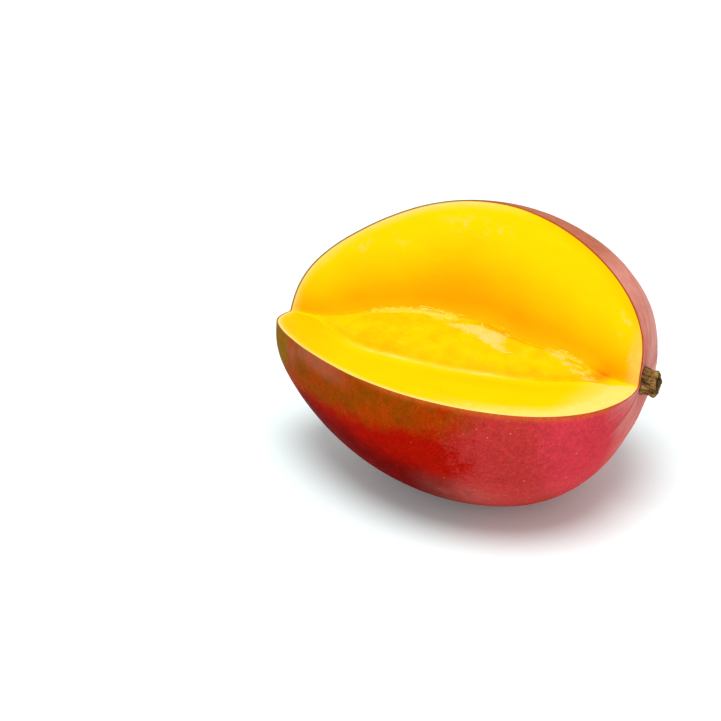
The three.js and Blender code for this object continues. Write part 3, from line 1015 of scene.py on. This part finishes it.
def fuzz_mask(facts):
    """Where tufts of fibre show on both sides of the ridge."""
    u = facts["u"]
    fuzz = facts["upper"] * bump(facts["from_ridge"], 1.7)
    fuzz = fuzz + facts["stone"] * smooth(0.84, 1, facts["across"])
    left = 0.9 * smooth(-44, -24, u) * smooth(6, -6, u)
    return fuzz * (left + 0.8 * bump(u - 36, 8) + 0.35 * bump(u - 14, 10))


def pale_mask(facts, rim):
    """The thin pale line inside the skin."""
    u = facts["u"]
    on_lower = smooth(1.3, 0.6, rim) * facts["lower"] * (0.5 + 0.5 * bump(u + 54, 8))
    on_upper = 0.5 * smooth(1.2, 0.6, rim) * facts["upper"] * smooth(10, -5, u)
    return on_lower + on_upper


def flesh_masks(p):
    """How much of each colour the flesh shows at each point."""
    facts = flesh_facts(p)
    rim = skin_distance(p)
    wander = layered(p / 9.0, FLESH_SEED, 2)
    u = facts["u"]
    return {
        "rim": rim,
        "pale": pale_mask(facts, rim),
        "deep_and_shade": deep_and_shade_mask(facts, rim, wander),
        "cream": cream_mask(facts, rim, wander),
        "stone": facts["stone"],
        # Painted highlight along the lip's crest.
        "line": bump(facts["from_lip"] - 0.1, 0.8) * smooth(-34, -8, u) * smooth(34, 18, u),
        "torn": facts["torn"],
        "fleck": fleck_mask(facts, rim),
        # Darker orange in the corner hollow at the seam's stem end.
        "corner_orange": 0.85 * bump(facts["from_ridge"], 1.2) * bump(u - 47, 2.6),
        "fuzz": fuzz_mask(facts),
        "seared": smooth(6, 34, u),
    }


def flesh_piece(notch):
    """The body inside the skin, with the two cut faces and the hump over the stone."""
    shrink = PEEL + PEEL_OVERLAP
    flesh = make_object("mango_flesh", *fruit_mesh(FLESH_RINGS, FLESH_COLUMNS, shrink))
    raised = floor_block(shrink)
    cut(flesh, [notch, raised])
    bpy.data.objects.remove(raised)
    for name, value in flesh_masks(positions(flesh)).items():
        set_attribute(flesh, name, value)
    shade_smooth(flesh, sharp_degrees=50)
    dress(flesh, flesh_material(), "mango_fruit")


def strand(path, radius):
    """A thin flattened tapered thread along a path."""
    count = len(path)
    tangent = np.gradient(path, axis=0)
    tangent /= np.linalg.norm(tangent, axis=1)[:, None]
    side = np.cross(tangent, STONE_NORMAL)
    side /= np.linalg.norm(side, axis=1)[:, None]
    taper = (np.sin(np.linspace(0.12, math.pi - 0.12, count)) ** 0.6)[:, None] * radius
    up = FLATNESS * taper * STONE_NORMAL
    rings = np.stack([path + taper * side, path + up, path - taper * side, path - up], 1)
    return ring_mesh(rings, path[0], path[-1])


def strand_starts(rng):
    """Middles of the short strands, as (place along, place across)."""
    spots = [spot for spot in TORN_SPOTS if spot[4] > 0.35]
    share = np.array([spot[4] * spot[2] for spot in spots])
    picks = rng.choice(len(spots), SPOT_STRANDS, p=share / share.sum())
    starts = []
    for pick in picks:
        at_u, at_t, wide, tall, _ = spots[pick]
        starts.append((rng.normal(at_u, 0.6 * wide), rng.normal(at_t, 0.6 * tall)))
    for _ in range(RIDGE_STRANDS):
        starts.append((rng.normal(-13, 4), rng.normal(0.97, 0.03)))
    return starts


def short_strand(rng, at_u, at_t):
    """A strand that lies loose on the hump."""
    length = rng.uniform(1.4, 4.5)
    heading = rng.normal(0.5, 0.5)
    steps = np.linspace(-0.5, 0.5, 7)
    bend = rng.normal(0, 0.8) * steps ** 2
    u = np.clip(at_u + length * steps * math.cos(heading), -HUMP_REACH, HUMP_REACH)
    t = at_t - length * steps * math.sin(heading) / HUMP_WIDTH + bend / HUMP_WIDTH
    lift = 0.03 + rng.uniform(0, 0.05) * (0.5 + steps) ** 2
    path = roughened(stone_point(u, np.clip(t, 0.03, 1.0))) + lift[:, None] * STONE_NORMAL
    return strand(path, rng.uniform(0.12, 0.24))


def long_thread(first, last, rise):
    """A thread on the upper face, just above the ridge."""
    u = np.linspace(first, last, 12)
    v = curve_at(RIDGE, u) + rise * np.sin(np.linspace(0.5, 2.6, 12))
    return strand(upper_point(u, v) + 0.10 * UPPER_NORMAL, 0.18)


def joined(parts):
    """One mesh from several."""
    vertices, faces, base = [], [], 0
    for part_vertices, part_faces in parts:
        vertices.append(part_vertices)
        faces += [tuple(i + base for i in face) for face in part_faces]
        base += len(part_vertices)
    return np.concatenate(vertices), faces


def fibre_piece():
    """Frayed strands of fibre along the ridge and over the stone."""
    rng = np.random.default_rng(SEED)
    strands = [short_strand(rng, at_u, at_t) for at_u, at_t in strand_starts(rng)]
    strands += [long_thread(*thread) for thread in LONG_THREADS]
    fibres = make_object("mango_fibres", *joined(strands))
    shade_smooth(fibres, sharp_degrees=40)
    dress(fibres, fibre_material(), "mango_fruit")


def stem_radius(t, angle):
    """Ribbed radius at t along the stem, before the bark's roughness."""
    ribs = 0.085 * np.cos(5 * angle + 0.4) + 0.05 * np.cos(3 * angle + 1.9) + 0.03 * np.cos(8 * angle)
    foot = 0.24 * np.exp(-np.maximum(0, t) / 1.1)
    head = 0.08 * smooth(2.4, 4.2, t) - 0.16 * smooth(4.3, STEM_OUT, t)
    return STEM_RADIUS * (0.92 + ribs + foot + head)


def stem_point(t, radius, angle):
    """Point on the stem, which leans a little and ends unevenly."""
    uneven = 0.25 * radius / STEM_RADIUS * np.sin(2 * angle + 1) * smooth(3, STEM_OUT, t)
    y = STEM_Y - 0.1 * t + radius * np.cos(angle)
    z = STEM_Z - 0.1 * t + radius * np.sin(angle)
    return np.stack([STEM_FOOT + t + uneven, y, z], -1)


def stem_mesh():
    """The stub, from inside the fruit to the hollow in its end."""
    side = [np.linspace(-4, 0, 8), np.linspace(0.1, 4.3, 34), np.linspace(4.36, STEM_OUT, 9)]
    side = np.concatenate(side)
    hollow = np.array([[0.15, 0.86], [0.2, 0.76], [0.7 * STEM_HOLLOW, 0.58],
                       [STEM_HOLLOW, 0.4], [STEM_HOLLOW, 0.2]])
    scale = np.concatenate([np.ones(len(side)), hollow[:, 1]])[:, None]
    rows = np.concatenate([side, STEM_OUT - hollow[:, 0]])
    angles = 2 * math.pi * np.arange(STEM_COLUMNS) / STEM_COLUMNS
    t, angle = np.meshgrid(rows, angles, indexing="ij")
    radius = stem_radius(t, angle) * scale
    grooves = np.abs(np.sin(9 * angle + 0.5 * np.sin(2 * t))) ** 0.7
    grain = layered(stem_point(t, radius, angle) / np.array([2.6, 0.9, 0.9]), BARK_SEED, 3)
    rough = 0.28 * (1 - grooves) + 0.22 * (1 + grain / 1.6)
    rings = stem_point(t - 0.25 * rough * smooth(3.5, STEM_OUT, t), radius - rough * scale, angle)
    poles = stem_point(np.array([-4.0, STEM_OUT - STEM_HOLLOW]), np.zeros(2), np.zeros(2))
    return ring_mesh(rings, poles[0], poles[1])


def stem_piece():
    """The stub, cut off where it meets the skin."""
    stem = make_object("mango_stem", *stem_mesh())
    vertices, faces = fruit_mesh(SOCKET_RINGS, SOCKET_COLUMNS, 0)
    fruit = make_object("stem_cutter", vertices + np.array([STEM_GAP, 0, 0]), faces)
    cut(stem, [fruit])
    bpy.data.objects.remove(fruit)
    x, y, z = positions(stem).T
    reach = np.hypot(y - STEM_Y + 0.4, z - STEM_Z + 0.4)
    hollow = smooth(2.9, 2.0, reach) * smooth(STEM_FOOT + 2.5, STEM_FOOT + 3.3, x)
    set_attribute(stem, "hollow", hollow)
    shade_smooth(stem)
    dress(stem, stem_material(), "stem_stub")


# Stage

def stage_floor():
    mesh = bpy.data.meshes.new("studio_floor")
    half = FLOOR_HALF
    corners = [(-half, -half, 0), (half, -half, 0), (half, half, 0), (-half, half, 0)]
    mesh.from_pydata(corners, [], [(0, 1, 2, 3)])
    floor = add_object("studio_floor", mesh)
    n = Nodes("studio_floor")
    tint = n.mix(n.ramp(n.noise(6, 2, 0.5), 0.3, 0.7), FLOOR_GREY, FLOOR_WHITE)
    mesh.materials.append(n.finish(Base_Color=tint, Roughness=0.9, Specular_IOR_Level=0.1,
                                    Emission_Color=(1, 1, 1, 1), Emission_Strength=FLOOR_GLOW))


def sun(name, direction, strength, softness):
    """A far soft light that shines from the given direction."""
    data = bpy.data.lights.new(name, "SUN")
    data.energy = strength
    data.angle = math.radians(softness)
    lamp = add_object(name, data)
    lamp.rotation_euler = Vector(direction).to_track_quat("Z", "Y").to_euler()


def lights():
    world = bpy.data.worlds.new("studio")
    world.use_nodes = True
    background = world.node_tree.nodes["Background"]
    background.inputs["Color"].default_value = (1, 1, 1, 1)
    background.inputs["Strength"].default_value = WORLD_STRENGTH
    bpy.context.scene.world = world
    sun("top", SUN_DIRECTION, SUN_STRENGTH, SUN_ANGLE)


def camera():
    yaw, elevation = math.radians(VIEW_YAW), math.radians(VIEW_ELEVATION)
    level = math.cos(elevation)
    back = Vector((math.sin(yaw) * level, -math.cos(yaw) * level, math.sin(elevation)))
    right = Vector((math.cos(yaw), math.sin(yaw), 0))
    up = back.cross(right)
    place = back * VIEW_DISTANCE - right * VIEW_OFFSET[0] - up * VIEW_OFFSET[1]
    data = bpy.data.cameras.new("camera")
    data.sensor_width = SENSOR
    data.sensor_fit = "HORIZONTAL"
    data.lens = FOCAL_PIXELS / FRAME_PIXELS * SENSOR
    data.clip_start = 0.01
    data.dof.use_dof = False
    cam = add_object("camera", data)
    turn = Matrix((right, up, back)).transposed().to_4x4()
    cam.matrix_world = Matrix.Translation((place + Vector(SHIFT)) * MM) @ turn
    bpy.context.scene.camera = cam


def build():
    notch = make_object("notch_cutter", *notch_mesh())
    skin_piece(notch)
    flesh_piece(notch)
    bpy.data.objects.remove(notch)
    fibre_piece()
    stem_piece()
    stage_floor()
    lights()
    camera()
    view = bpy.context.scene.view_settings
    view.view_transform = "Standard"
    view.look = "None"


build()
